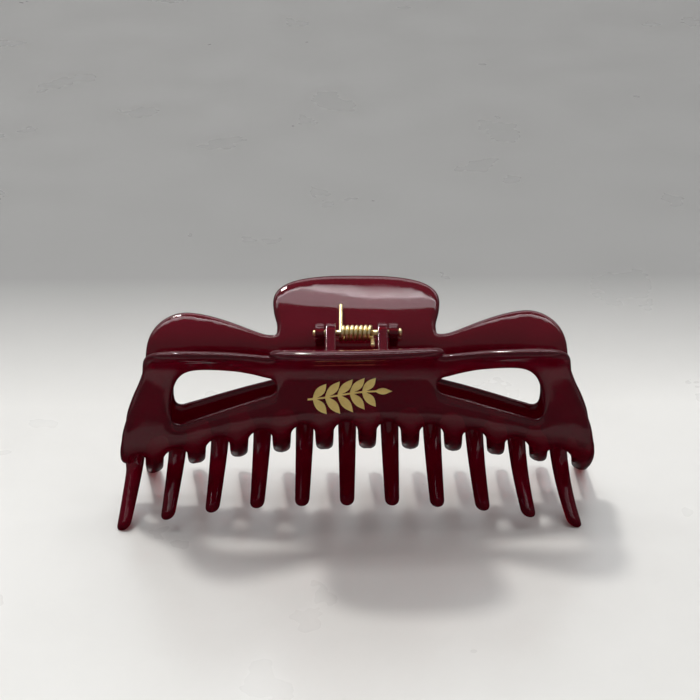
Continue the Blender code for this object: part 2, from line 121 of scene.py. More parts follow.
# ---- hinge (mm) --------------------------------------------------------------------
LUG_R = 2.25
LUG_EASE = 0.28
INNER_LUG = (4.8, 7.1)           # |x| span of the front jaw's lugs
OUTER_LUG = (7.45, 9.5)          # and of the rear jaw's
FRONT_LUG_TOP = (9.1, -0.9)      # where the lugs meet the jaw, as (out, z)
REAR_LUG_TOP = (8.5, -1.6)
LUG_FOOT = (3.95, -5.8)
BORE_R = 0.78
BORE_HALF = 14.0
PIN_R = 0.70
PIN_HEAD_R = 1.05
PIN_HEAD_X = 9.8
PIN_END = -10.1
WIRE_R = 0.46
WIRE_SIDES = 16
COIL_R = 1.42
COIL_TURNS = 7
COIL_STEPS = 44                  # per turn
COIL_HALF = 3.65
LEG_END = (10.3, 2.1)            # |y| and z of the spring legs' ends
LEG_STEPS = 14

# Side profile of a jaw from the tab's lip to the tooth tips: (out from the pin, z).
SIDE_PROFILE = [
    (20.9, 5.2), (15.75, 2.6), (10.6, 0.0), (7.2, -2.2), (4.7, -4.5),
    (3.6, -7.0), (3.4, -10.0), (3.7, -14.0), (4.2, -18.0),
    (4.1, -21.5), (3.3, -24.8), (1.4, -27.8), (-1.5, -30.4),
    (-5.2, -32.7), (-9.4, -35.0), (-14.5, -37.5)]
WAIST_Z = -6.5

# Edges of the flat pattern's +X half: (x, rise).
TAB_EDGE = [
    (0.0, 20.75), (6.0, 20.6), (11.5, 19.85), (15.8, 18.4),
    (18.5, 16.2), (19.6, 13.5), (19.4, 9.8), (18.6, 6.3), (18.7, 3.8)]
WING_EDGE = [
    (18.7, 3.8), (21.0, 3.9), (23.5, 4.7), (28.3, 6.7), (33.0, 8.45),
    (37.2, 9.55), (40.6, 9.85), (43.4, 9.1), (46.0, 7.3),
    (47.8, 4.9), (48.9, 1.9), (49.4, -1.6), (49.8, -3.1),
    (50.6, -4.7), (51.6, -6.3), (53.0, -8.1), (54.4, -10.4),
    (55.1, -12.3), (55.5, -14.8)]
# Window in each wing, clockwise.
WINDOW = [
    (19.4, -3.6), (21.5, -2.9), (24.3, -2.1), (28.2, -1.3),
    (32.5, -0.9), (36.3, -0.85), (39.1, -1.4), (41.2, -2.8),
    (42.4, -4.7), (43.1, -6.8), (43.3, -8.9), (42.9, -10.5),
    (41.6, -11.1), (39.6, -10.9), (36.0, -10.4), (30.4, -9.4),
    (25.0, -8.3), (21.0, -7.45), (19.2, -6.9), (18.7, -5.4)]
MIRROR = np.array([-1.0, 1.0])

# ---- gold sprig (mm), in its own x and height -----------------------------------
SPRIG_CENTRE = (-1.8, -7.2)      # its origin on the pattern
STEM_X = (-9.6, 6.2)
STEM_HALF = 0.22
STEM_BOW = 0.9
LEAF_COUNT = 5                   # on each side
LEAF_STEPS = 16
LEAF_START = 1.2
LEAF_PITCH = 2.85
LEAF_LENGTH = 4.7
LEAF_SWELL = 0.6                 # the middle leaves are longer by this
LEAF_WIDTH = 1.65
LEAF_FOOT = 0.95                 # width of a leaf's foot along the stem
LEAF_LEAN = math.radians(48)
END_LEAF_LENGTH = 3.8
END_LEAF_SWELL = 0.63
SPRIG_GRID = 0.45


# ---- curves and flat regions -----------------------------------------------------
def smooth_curve(points, closed=False, per=16):
    """Catmull-Rom curve through the points, with per steps to each span."""
    pts = [np.array(p, float) for p in points]
    count = len(pts)
    out = []
    for i in range(count if closed else count - 1):
        if closed:
            p0, p1, p2, p3 = (pts[(i + k - 1) % count] for k in range(4))
        else:
            p1, p2 = pts[i], pts[i + 1]
            p0 = pts[i - 1] if i else 2 * p1 - p2
            p3 = pts[i + 2] if i + 2 < count else 2 * p2 - p1
        for k in range(per):
            f = k / per
            out.append(0.5 * (2 * p1 + (p2 - p0) * f
                              + (2 * p0 - 5 * p1 + 4 * p2 - p3) * f * f
                              + (3 * p1 - p0 - 3 * p2 + p3) * f ** 3))
    if not closed:
        out.append(pts[-1])
    return np.array(out)


def run_along(line):
    """Length along a line at each of its points."""
    return np.concatenate([[0.0], np.cumsum(np.hypot(*np.diff(line, axis=0).T))])


def even(line, step, closed=False):
    """The line with its points evenly spaced by about step."""
    if closed:
        line = np.vstack([line, line[:1]])
    run = run_along(line)
    count = int(round(run[-1] / step))
    at = np.linspace(0.0, run[-1], count + 1)
    out = np.column_stack([np.interp(at, run, line[:, k]) for k in (0, 1)])
    return out[:-1] if closed else out


def soften(line, width, step, closed=True):
    """The line with its kinks rounded off over about width."""
    line = even(line, step, closed)
    reach = int(math.ceil(3 * width / step))
    kernel = np.exp(-0.5 * (np.arange(-reach, reach + 1) * step / width) ** 2)
    kernel /= kernel.sum()
    if closed:
        wide = np.vstack([line[-reach:], line, line[:reach]])
    else:
        head = 2 * line[0] - line[reach:0:-1]
        tail = 2 * line[-1] - line[-2:-reach - 2:-1]
        wide = np.vstack([head, line, tail])
    return np.column_stack([np.convolve(wide[:, k], kernel, "valid") for k in (0, 1)])


def arc(x, rise, radii, start, end):
    angle = np.radians(np.linspace(start, end, ARC_STEPS + 1))
    return np.column_stack([x + radii[0] * np.cos(angle), rise + radii[1] * np.sin(angle)])


def inside(loops, pts):
    """Which points lie within an odd number of the loops."""
    odd = np.zeros(len(pts), bool)
    for loop in loops:
        for (x0, y0), (x1, y1) in zip(loop, np.roll(loop, -1, axis=0)):
            if y0 == y1:
                continue
            hit = ((y0 > pts[:, 1]) != (y1 > pts[:, 1]))
            odd ^= hit & (pts[:, 0] < (x1 - x0) * (pts[:, 1] - y0) / (y1 - y0) + x0)
    return odd


def edge_distance(loops, pts):
    best = np.full(len(pts), 1e9)
    for loop in loops:
        for start, end in zip(loop, np.roll(loop, -1, axis=0)):
            way = end - start
            k = np.clip(((pts - start) @ way) / (way @ way), 0.0, 1.0)
            best = np.minimum(best, np.hypot(*(pts - start - k[:, None] * way).T))
    return best


def inset(loop, depth):
    """The loop moved to its left by depth: inwards if it runs anticlockwise."""
    along = np.roll(loop, -1, axis=0) - np.roll(loop, 1, axis=0)
    along /= np.hypot(along[:, 0], along[:, 1])[:, None]
    return loop + depth * np.column_stack([-along[:, 1], along[:, 0]])


def fill(loops, grid, clearance):
    """Points and triangles of the flat region inside the loops. The loops' own
    points come first, then the grid points that keep clear of the edges."""
    grid = grid[inside(loops, grid)]
    grid = grid[edge_distance(loops, grid) > clearance]
    edges, base = [], 0
    for loop in loops:
        count = len(loop)
        edges += [(base + i, base + (i + 1) % count) for i in range(count)]
        base += count
    pts = np.vstack([*loops, grid])
    verts, _, faces, orig, _, _ = delaunay_2d_cdt([Vector(p) for p in pts], edges, [], 0, 1e-7)
    source = {i: o[0] for i, o in enumerate(orig) if o}
    flat = np.array([tuple(v) for v in verts])
    tri = np.array([f for f in faces if len(f) == 3])
    tri = tri[inside(loops, flat[tri].mean(axis=1))]
    tri = np.vectorize(source.get)(tri)
    # turn every triangle anticlockwise
    p0, p1, p2 = (pts[tri[:, k]] for k in range(3))
    turn = ((p1[:, 0] - p0[:, 0]) * (p2[:, 1] - p0[:, 1])
            - (p1[:, 1] - p0[:, 1]) * (p2[:, 0] - p0[:, 0]))
    tri[turn < 0] = tri[turn < 0][:, ::-1]
    return pts, tri


def ramp(value, start, end):
    """Smooth step from 0 at start to 1 at end."""
    k = np.clip((np.asarray(value, float) - start) / (end - start), 0.0, 1.0)
    return k * k * (3 - 2 * k)


def share(value, zone, limit=1.0):
    """How far a value is through a (start, length) zone."""
    start, length = zone
    return np.clip((value - start) / length, 0.0, limit)


# ---- wrapping ------------------------------------------------------------------------
class Profile:
    """The jaw's side line by rise, with its outward normal."""

    def __init__(self):
        line = soften(smooth_curve(SIDE_PROFILE, per=60)[::-1], 0.8, 0.05, closed=False)
        run = run_along(line)
        self.rise = run - np.interp(WAIST_Z, line[:, 1], run)
        along = np.gradient(line, self.rise, axis=0)
        along /= np.hypot(along[:, 0], along[:, 1])[:, None]
        self.columns = (line[:, 0], line[:, 1], along[:, 1], -along[:, 0])
        self.bottom = self.rise[0]
        self.top = self.rise[-1]

    def at(self, rise):
        """(out, z, normal's out, normal's z) at a rise."""
        return tuple(np.interp(rise, self.rise, column) for column in self.columns)


PROFILE = Profile()


def wrap(x, rise, offset):
    """Pattern points, offset outwards from the mid-surface, on the front jaw."""
    out, z, normal_out, normal_z = PROFILE.at(rise)
    below = ramp(-rise, 0.0, ARCH_FULL)
    from_middle = np.minimum(np.abs(x - TOOTH_OFFSET * below), ARCH_X + 2.2)
    low = share(-rise, ARCH_LOW)
    power = ARCH_POWER[0] + (ARCH_POWER[1] - ARCH_POWER[0]) * low
    drop = ARCH_DROP * (1.0 + 0.05 * low) * (from_middle / ARCH_X) ** power * below
    spread = 1.0 + TOOTH_FAN * share(-rise, FAN_ZONE)
    splay = share(-x, FLARE_SIDE, 1.2) ** 2 * share(-rise, FLARE_DOWN) ** 2
    on_tab = ramp(-np.abs(x), *TAB_FADE)
    curl = DISH * (x / TAB_HALF) ** 2 + TWIST * x / TAB_HALF
    offset = offset - curl * ramp(rise, 5.0, 20.0) * on_tab
    offset = offset + CROWN * (rise - CROWN_RISE) ** 2 * ramp(rise, 5.0, 9.0) * on_tab
    return np.column_stack([x * spread - END_FLARE * splay,
                            -(out + offset * normal_out),
                            z + offset * normal_z - drop])


# ---- jaw sheet -----------------------------------------------------------------------
def valley(x):
    return VALLEY_MID - VALLEY_DROP * (abs(x) / 50.0) ** 2.2


def tooth_half(rise):
    """Half width of a tooth at a rise."""
    down = (-rise - TAPER_DOWN) / (-PROFILE.bottom - TAPER_DOWN)
    return 0.5 * (TOOTH_ROOT_W + (TOOTH_TIP_W - TOOTH_ROOT_W) * down)


def jaw_outline():
    """Outer edge of the pattern, anticlockwise from the tab's middle."""
    right = np.vstack([smooth_curve(TAB_EDGE)[:-1], smooth_curve(WING_EDGE)])
    centres = [TOOTH_OFFSET + TOOTH_PITCH * (i - (TOOTH_COUNT - 1) / 2)
               for i in range(TOOTH_COUNT)]
    tip_r = TOOTH_TIP_W / 2
    tip_rise = PROFILE.bottom + tip_r

    # the -X end: down the edge, round the lobe and up to the first tooth
    lobe_x, lobe_rise = LOBE
    lobe_side = lobe_x + LOBE_RADII[0]
    first = centres[0] - TOOTH_ROOT_W / 2
    half = (first - lobe_side) / 2
    path = [right * MIRROR,
            np.array([(-55.5, -16.4)]),
            arc(lobe_x, lobe_rise, LOBE_RADII, 190, 360),
            arc((lobe_side + first) / 2, lobe_rise + 0.25, (half, half), 180, 0)]

    half = TOOTH_PITCH / 2 - TOOTH_ROOT_W / 2
    for centre in centres:
        path.append(np.array([(centre - tooth_half(tip_rise), tip_rise)]))
        path.append(arc(centre, tip_rise, (tip_r, tip_r), 180, 360))
        if centre != centres[-1]:
            middle = centre + TOOTH_PITCH / 2
            path.append(arc(middle, valley(middle) - half, (half, half), 180, 0))
    # the last tooth is broad at its root, in line with the jaw's +X end
    path.append(np.array([(centre + tooth_half(-24.5), -24.5), (centre + 2.6, -21.5),
                          (55.25, -19.0), (55.5, -17.0)]))
    path.append(right[:0:-1])
    return np.vstack(path)


def rim_ring(turn):
    """(depth from the edge, half thickness) at a turn of the quarter ellipse."""
    angle = math.radians(turn)
    return EDGE_ROUND * (1.0 - math.cos(angle)), HALF_WALL * math.sin(angle)


def half_thickness(depth):
    k = 1.0 - np.clip(depth / EDGE_ROUND, 0.0, 1.0)
    return HALF_WALL * np.sqrt(1.0 - k * k)


def jaw_sheet(step):
    """Points and faces of the sheet, and each point's (x, rise, edge depth)."""
    outline = even(soften(jaw_outline(), 0.32, 0.12), step, closed=True)
    hole = even(soften(smooth_curve(WINDOW, closed=True), 0.3, 0.12), step, closed=True)
    loops = [outline, hole, hole[::-1] * MIRROR]
    rings = [rim_ring(turn) for turn in RIM_TURNS]
    layers = [[inset(loop, depth) for loop in loops] for depth, _ in rings]

    # staggered rows, close to equilateral
    gap = step * 2.1
    rows = []
    for j, rise in enumerate(np.arange(PROFILE.bottom, PROFILE.top, gap * 0.87)):
        xs = np.arange(-GRID_HALF, GRID_HALF, gap) + (gap / 2 if j % 2 else 0.0)
        rows.append(np.column_stack([xs, np.full(len(xs), rise)]))
    pts, tri = fill(layers[-1], np.vstack(rows), gap * 0.48)

    rim_count = sum(len(loop) for loop in loops)
    depth = edge_distance(loops, pts)
    middle = half_thickness(depth)
    middle[:rim_count] = rings[-1][1]
    edge = np.vstack(layers[0])
    verts = [wrap(edge[:, 0], edge[:, 1], np.zeros(rim_count))]
    flat = [np.column_stack([edge, np.zeros(rim_count)])]
    faces = []
    count = rim_count
    for side in (1, -1):                 # outer face, then inner
        below = 0
        for k in range(1, len(rings)):
            last = k == len(rings) - 1
            here = pts if last else np.vstack(layers[k])
            thick = middle if last else np.full(len(here), rings[k][1])
            verts.append(wrap(here[:, 0], here[:, 1], side * thick))
            flat.append(np.column_stack(
                [here, depth if last else np.full(len(here), rings[k][0])]))
            base = 0
            for loop in loops:
                for i in range(len(loop)):
                    this, after = base + i, base + (i + 1) % len(loop)
                    quad = (below + this, below + after, count + after, count + this)
                    faces.append(quad[::side])
                base += len(loop)
            if last:
                faces += [tuple(f[::side] + count) for f in tri]
            below = count
            count += len(here)
    verts = np.vstack(verts)
    verts[:, 2] = np.maximum(verts[:, 2], -PIVOT_Z)     # nothing below the floor
    return verts, faces, np.vstack(flat)


# ---- mesh helpers --------------------------------------------------------------------
def put(name, verts, faces, mat, flip=False, sharp=40.0):
    """Object from millimetre points about the pin; flip gives it half a turn."""
    verts = np.asarray(verts, float) * MM
    if flip:
        verts = verts * np.array([-1.0, -1.0, 1.0])
    verts = verts + np.array([0.0, 0.0, PIVOT_Z * MM])
    mesh = bpy.data.meshes.new(name)
    mesh.from_pydata([tuple(v) for v in verts], [], [tuple(int(i) for i in f) for f in faces])
    mesh.update()
    if mat is not None:
        mesh.materials.append(mat)
    ob = bpy.data.objects.new(name, mesh)
    bpy.context.scene.collection.objects.link(ob)
    finish_mesh(ob, sharp)
    return ob


def finish_mesh(ob, sharp):
    """Outward normals, smooth shading, and sharp edges above an angle in degrees."""
    bm = bmesh.new()
    bm.from_mesh(ob.data)
    bmesh.ops.recalc_face_normals(bm, faces=bm.faces)
    bm.to_mesh(ob.data)
    bm.free()
    ob.data.shade_smooth()
    ob.data.set_sharp_from_angle(angle=math.radians(sharp))


def tube_faces(rings, sides):
    """Two end caps and the quads between successive rings."""
    total = rings * sides
    faces = [tuple(range(sides)), tuple(range(total - 1, total - 1 - sides, -1))]
    for j in range(rings - 1):
        for i in range(sides):
            this, after = j * sides + i, j * sides + (i + 1) % sides
            faces.append((this, this + sides, after + sides, after))
    return faces


def prism(outline, x0, x1, ease):
    """Prism along x from an anticlockwise (out, z) outline, its two rims rounded."""
    stations = []
    for k in range(5):
        angle = math.radians(90.0 * k / 4)
        stations.append((x0 + ease * (1 - math.sin(angle)), ease * (1 - math.cos(angle))))
    stations.sort()
    stations += [(x0 + x1 - x, depth) for x, depth in stations[::-1]]
    verts = [(x, -out, z) for x, depth in stations for out, z in inset(outline, depth)]
    return verts, tube_faces(len(stations), len(outline))


def turned(stations, sides=64):
    """A turned piece about X from (x, radius) stations, its ends closed."""
    turns = [2 * math.pi * k / sides for k in range(sides)]
    verts = [(x, r * math.cos(turn), r * math.sin(turn)) for x, r in stations for turn in turns]
    faces = [tuple(range(sides - 1, -1, -1)), tuple(range(len(verts) - sides, len(verts)))]
    for j in range(len(stations) - 1):
        for k in range(sides):
            this, after = j * sides + k, j * sides + (k + 1) % sides
            faces.append((this, after, after + sides, this + sides))
    return verts, faces


def join(parts):
    verts, faces = [], []
    for part_verts, part_faces in parts:
        base = len(verts)
        verts += part_verts
        faces += [tuple(i + base for i in face) for face in part_faces]
    return verts, faces


def cut(ob, tool, operation):
    """Apply a boolean with the tool, then remove the tool."""
    mod = ob.modifiers.new("cut", "BOOLEAN")
    mod.operation = operation
    mod.solver = "EXACT"
    mod.object = tool
    depsgraph = bpy.context.evaluated_depsgraph_get()
    mesh = bpy.data.meshes.new_from_object(ob.evaluated_get(depsgraph))
    ob.modifiers.clear()
    old_mesh = ob.data
    ob.data = mesh
    bpy.data.meshes.remove(old_mesh)
    bpy.data.objects.remove(tool, do_unlink=True)


# ---- pieces --------------------------------------------------------------------------
def lug_outline(top_foot):
    """Round nose about the pin with straight sides to its two feet, as (out, z)."""
    def tangent(foot):
        return math.atan2(foot[1], foot[0]), math.acos(LUG_R / math.hypot(*foot))

    top_angle, top_reach = tangent(top_foot)
    low_angle, low_reach = tangent(LUG_FOOT)
    angles = np.linspace(top_angle + top_reach, low_angle - low_reach + 2 * math.pi, 41)
    nose = [(LUG_R * math.cos(a), LUG_R * math.sin(a)) for a in angles]
    return np.array(nose + [LUG_FOOT, top_foot])


def tone(ob, sheet, flip):
    """Point values for the plastic: nearness to the rim, which carries painted shade,
    how far down the jaw and the teeth, and how far up the tab. Taken from the nearest point of
    the sheet."""
    verts, _, flat = sheet
    tree = KDTree(len(verts))
    for i, v in enumerate(verts):
        tree.insert(v, i)
    tree.balance()
    sign = -1.0 if flip else 1.0
    tones = {"rim": [], "tooth": [], "tip": [], "tab": []}
    for v in ob.data.vertices:
        place = Vector((v.co.x * sign, v.co.y * sign, v.co.z - PIVOT_Z * MM)) / MM
        _, i, far = tree.find(place)
        _, rise, depth = flat[i]
        # points of the lugs and bores lie off the sheet; they get part of the painted edge
        # shade, which darkens the lugs
        tones["rim"].append(float(1.0 - ramp(depth, 0.2, 1.9)) if far < 0.4 else 0.6)
        tones["tooth"].append(float(ramp(-rise, 6.0, 13.0)))
        tones["tip"].append(float(ramp(-rise, 22.0, 29.0)))
        tones["tab"].append(float(ramp(rise, 3.0, 8.0)))
    for name, values in tones.items():
        ob.data.attributes.new(name, "FLOAT", "POINT").data.foreach_set("value", values)


def jaw(name, sheet, lug_span, lug_top, flip):
    """The sheet with a pair of lugs joined on and bored for the pin."""
    verts, faces, _ = sheet
    ob = put(name, verts, faces, PLASTIC, flip)
    near, far = lug_span
    side = lug_outline(lug_top)
    lugs = join([prism(side, near, far, LUG_EASE), prism(side, -far, -near, LUG_EASE)])
    cut(ob, put(name + "_lugs", *lugs, None, flip), "UNION")
    bore = turned([(-BORE_HALF, BORE_R), (BORE_HALF, BORE_R)])
    cut(ob, put(name + "_bore", *bore, None, flip), "DIFFERENCE")
    ob.data.materials.clear()
    ob.data.materials.append(PLASTIC)
    for face in ob.data.polygons:
        face.material_index = 0
    finish_mesh(ob, 38.0)
    tone(ob, sheet, flip)
    return ob


def pin():
    """Turned pin with a rounded -X end and a domed head at +X."""
    stations = [(PIN_END, 0.20), (PIN_END + 0.02, 0.34)]
    stations += [(PIN_END + 0.30 - 0.28 * math.cos(a), 0.34 + 0.36 * math.sin(a))
                 for a in np.radians(np.linspace(0, 90, 8)[1:])]
    stations += [(PIN_HEAD_X - 0.06, PIN_R), (PIN_HEAD_X, PIN_R + 0.05),
                 (PIN_HEAD_X, PIN_HEAD_R - 0.08), (PIN_HEAD_X + 0.02, PIN_HEAD_R - 0.02),
                 (PIN_HEAD_X + 0.08, PIN_HEAD_R)]
    for k in range(1, 11):
        angle = math.radians(90.0 * k / 10)
        stations.append((PIN_HEAD_X + 0.22 + 0.50 * math.sin(angle),
                         PIN_HEAD_R * math.cos(angle) ** 0.75 if k < 10 else 0.05))
    return put("pivot_pin_turned", *turned(stations), GOLD, sharp=50.0)


def spring():
    """Close coil with a straight leg towards each press tab, ends rounded."""
    # each leg leaves the coil along its tangent
    lead = math.atan2(LEG_END[1], LEG_END[0]) + math.asin(COIL_R / math.hypot(*LEG_END))
    start = math.pi * 1.5 - lead - math.pi * 2
    total = 2 * math.pi * COIL_TURNS + 2 * lead
    steps = int(round(COIL_STEPS * total / (2 * math.pi)))
    coil = []
    for i in range(steps + 1):
        f = i / steps
        angle = start + total * f
        coil.append((COIL_HALF - 2 * COIL_HALF * f,
                     COIL_R * math.cos(angle), COIL_R * math.sin(angle)))
    coil = np.array(coil)
    front_end = np.array([COIL_HALF, -LEG_END[0], LEG_END[1]])
    rear_end = np.array([-COIL_HALF, LEG_END[0], LEG_END[1]])
    shares = np.linspace(0, 1, LEG_STEPS + 1)
    path = np.vstack([[front_end + (coil[0] - front_end) * f for f in shares[:-1]], coil,
                      [coil[-1] + (rear_end - coil[-1]) * f for f in shares[1:]]])

    tangent = np.gradient(path, axis=0)
    tangent /= np.linalg.norm(tangent, axis=1)[:, None]
    side_a = np.cross(tangent, np.array([1.0, 0.0, 0.0]))
    side_a /= np.linalg.norm(side_a, axis=1)[:, None]
    side_b = np.cross(tangent, side_a)

    # rings as (path point, share of the radius, shift along the path)
    caps = [0.45, 0.75, 0.93]
    cap_step = 0.045
    rings = [(0, scale, (i - len(caps)) * cap_step) for i, scale in enumerate(caps)]
    rings += [(i, 1.0, 0.0) for i in range(len(path))]
    rings += [(len(path) - 1, scale, (i + 1) * cap_step)
              for i, scale in enumerate(reversed(caps))]
    verts = []
    for i, scale, shift in rings:
        centre = path[i] + tangent[i] * shift
        for k in range(WIRE_SIDES):
            turn = 2 * math.pi * k / WIRE_SIDES
            verts.append(centre + WIRE_R * scale * (side_a[i] * math.cos(turn)
                                                    + side_b[i] * math.sin(turn)))
    faces = tube_faces(len(rings), WIRE_SIDES)
    return put("torsion_spring_coil", verts, faces, GOLD, sharp=60.0)


def stem(x):
    """Height of the sprig's bowed stem."""
    x0, x1 = STEM_X
    return -STEM_BOW * math.cos(math.pi * (x - x0) / (x1 - x0) * 0.9 + 0.2)


def leaf(x, side, length):
    """Outline of one leaf above (side 1) or below (side -1) the stem."""
    base = np.array([x, stem(x) + side * STEM_HALF])
    foot = np.array([x + LEAF_FOOT, stem(x + LEAF_FOOT) + side * STEM_HALF])
    along = np.array([math.cos(LEAF_LEAN), side * math.sin(LEAF_LEAN)])
    across = np.array([-along[1], along[0]]) * side
    line = []
    for k in range(LEAF_STEPS + 1):
        f = k / LEAF_STEPS
        bulge = across * LEAF_WIDTH * math.sin(math.pi * f) * 0.5
        line.append(base + along * length * f + bulge)
    for k in range(1, LEAF_STEPS + 1):
        f = 1 - k / LEAF_STEPS
        bulge = across * LEAF_WIDTH * math.sin(math.pi * f) * 0.5
        line.append(base + (foot - base) * (1 - f) + along * length * f - bulge)
    return line


def sprig():
    """Anticlockwise outline: a slim stem, leaves on both sides and one at its end."""
    x0, x1 = STEM_X
    upper, lower = [], []
    for i in range(LEAF_COUNT):
        x = x0 + LEAF_START + i * LEAF_PITCH
        length = LEAF_LENGTH + LEAF_SWELL * math.sin(math.pi * i / (LEAF_COUNT - 1))
        upper += leaf(x, 1, length)
        lower += leaf(x, -1, length)
    end = np.array([x1, stem(x1)])
    half = [(f, STEM_HALF + END_LEAF_SWELL * math.sin(math.pi * f ** 0.9))
            for f in np.linspace(0, 1, 13)]
    tip = [end + np.array([END_LEAF_LENGTH * f, -w * (1 - f ** 4)]) for f, w in half]
    tip += [end + np.array([END_LEAF_LENGTH * f, w * (1 - f ** 4)]) for f, w in half[-2::-1]]
    tail_low = np.array([x0, stem(x0) - STEM_HALF])
    tail_high = np.array([x0, stem(x0) + STEM_HALF])
    return np.array([tail_low] + lower + tip + upper[::-1] + [tail_high])


def motif():
    """Foil sprig: a thin skin standing just proud of the jaw's outer face."""
    flat = sprig() + np.array(SPRIG_CENTRE)
    xs, rises = np.meshgrid(*(np.arange(flat[:, k].min(), flat[:, k].max(), SPRIG_GRID)
                              for k in (0, 1)))
    pts, tri = fill([flat], np.column_stack([xs.ravel(), rises.ravel()]), 0.16)
    count, rim_count = len(pts), len(flat)
    depth = edge_distance([flat], pts)
    depth[:rim_count] = 0.0
    low = wrap(pts[:, 0], pts[:, 1], np.full(count, HALF_WALL - 0.02))
    top = wrap(pts[:, 0], pts[:, 1], HALF_WALL + 0.03 + 0.05 * ramp(depth, 0.0, 0.25))
    faces = [tuple(f + count) for f in tri] + [tuple(f[::-1]) for f in tri]
    for i in range(rim_count):
        after = (i + 1) % rim_count
        faces.append((i, after, after + count, i + count))
    return put("gold_sprig", np.vstack([low, top]), faces, FOIL, sharp=50.0)


# ---- shader nodes ----------------------------------------------------------------------
class Graph:
    """Node tree of a material or world, with its shader and coordinates."""

    def __init__(self, owner, shader, coordinates):
        owner.use_nodes = True
        self.owner = owner
        self.tree = owner.node_tree
        self.shader = self.tree.nodes[shader]
        self.coord = self.node("TexCoord").outputs[coordinates]

    def feed(self, node, inputs):
        """Link sockets and set values; a tuple is an RGB colour."""
        for key, value in inputs.items():
            if isinstance(value, bpy.types.NodeSocket):
                self.tree.links.new(value, node.inputs[key])
            else:
                is_colour = isinstance(value, tuple)
                node.inputs[key].default_value = (*value, 1.0) if is_colour else value

    def node(self, kind, inputs=None, **settings):
        node = self.tree.nodes.new("ShaderNode" + kind)
        for key, value in settings.items():
            setattr(node, key, value)
        self.feed(node, inputs or {})
        return node

    def noise(self, scale, detail=3.0, rough=0.5):
        return self.node("TexNoise", {"Vector": self.coord, "Scale": scale, "Detail": detail,
                                      "Roughness": rough}).outputs["Fac"]

    def span(self, value, over, to=(0.0, 1.0), **settings):
        """The value mapped from one range to another."""
        return self.node("MapRange", {"Value": value, "From Min": over[0], "From Max": over[1],
                                      "To Min": to[0], "To Max": to[1]},
                         **settings).outputs["Result"]

    def mix(self, share_b, a, b):
        # 0, 6 and 7 are the factor and the two colours; output 2 is the colour
        return self.node("Mix", {0: share_b, 6: a, 7: b}, data_type="RGBA").outputs[2]

    def math(self, operation, *values):
        return self.node("Math", dict(enumerate(values)), operation=operation).outputs[0]

    def product(self, *values):
        return self.math("MULTIPLY", *values)

    def value(self, name):
        return self.node("Attribute", attribute_name=name).outputs["Fac"]

    def bump(self, height, distance, strength=1.0, after=None):
        inputs = {"Height": height, "Distance": distance, "Strength": strength}
        if after is not None:
            inputs["Normal"] = after
        return self.node("Bump", inputs).outputs["Normal"]


def material_graph(name):
    return Graph(bpy.data.materials.new(name), "Principled BSDF", "Object")


# ---- materials -------------------------------------------------------------------------
def wine_plastic():
    """Clear dark-wine plastic, darker the further light goes through it, with
    faint clouding, slow surface waves and fine handling marks. Painted shade
    darkens it along its edges and on the lugs. The lower halves of the teeth
    shine less than the rest."""
    g = material_graph("wine_plastic_clear")
    clear, cloudy = (0.52, 0.0040, 0.042), (0.43, 0.0025, 0.032)
    # rim is the colour of the painted shade along the edges and on the lugs
    deep, rim = (0.36, 0.0012, 0.027), (0.23, 0.0010, 0.019)
    clouds = g.span(g.noise(scale=60.0, detail=4.0), over=(0.35, 0.65))
    colour = g.mix(clouds, clear, cloudy)
    colour = g.mix(g.span(g.value("tooth"), over=(0.0, 1.0), to=(0.0, 0.92)), colour, deep)
    # painted shade: the colour darkens towards every edge and on the lugs
    colour = g.mix(g.span(g.value("rim"), over=(0.0, 1.0), to=(0.0, 0.60)), colour, rim)
    smears = g.noise(scale=420.0, detail=5.0, rough=0.6)
    wave_strength = g.span(g.value("tab"), over=(0.0, 1.0), to=(0.7, 0.22))
    waves = g.bump(g.noise(scale=52.0, detail=2.0, rough=0.4), distance=0.0007,
                   strength=wave_strength)
    marks = g.bump(g.noise(scale=1400.0, detail=4.0, rough=0.6), distance=0.0000020,
                   strength=0.5, after=waves)
    g.feed(g.shader, {
        "Base Color": colour,
        "Roughness": g.span(smears, over=(0.42, 0.72), to=(0.04, 0.11)),
        "Normal": marks,
        "IOR": g.span(g.value("tip"), over=(0.0, 1.0), to=(1.46, 1.17)),
        "Transmission Weight": 0.80})
    dye = g.node("VolumeAbsorption", {"Color": (0.62, 0.0, 0.19), "Density": 880.0})
    g.feed(g.tree.nodes["Material Output"], {"Volume": dye.outputs[0]})
    return g.owner


def gold(name, tones, mottle, mottle_over, dulling, rough, grain, grain_depth, metallic):
    """Mottled gold with dull spots and a fine grain; mottle, dulling and grain
    are noise settings."""
    g = material_graph(name)
    normal = g.bump(g.noise(**grain), distance=grain_depth, strength=0.6)
    g.feed(g.shader, {
        "Base Color": g.mix(g.span(g.noise(**mottle), over=mottle_over), *tones),
        "Roughness": g.span(g.noise(**dulling), over=(0.3, 0.7), to=rough),
        "Normal": normal,
        "Metallic": metallic})
    return g.owner


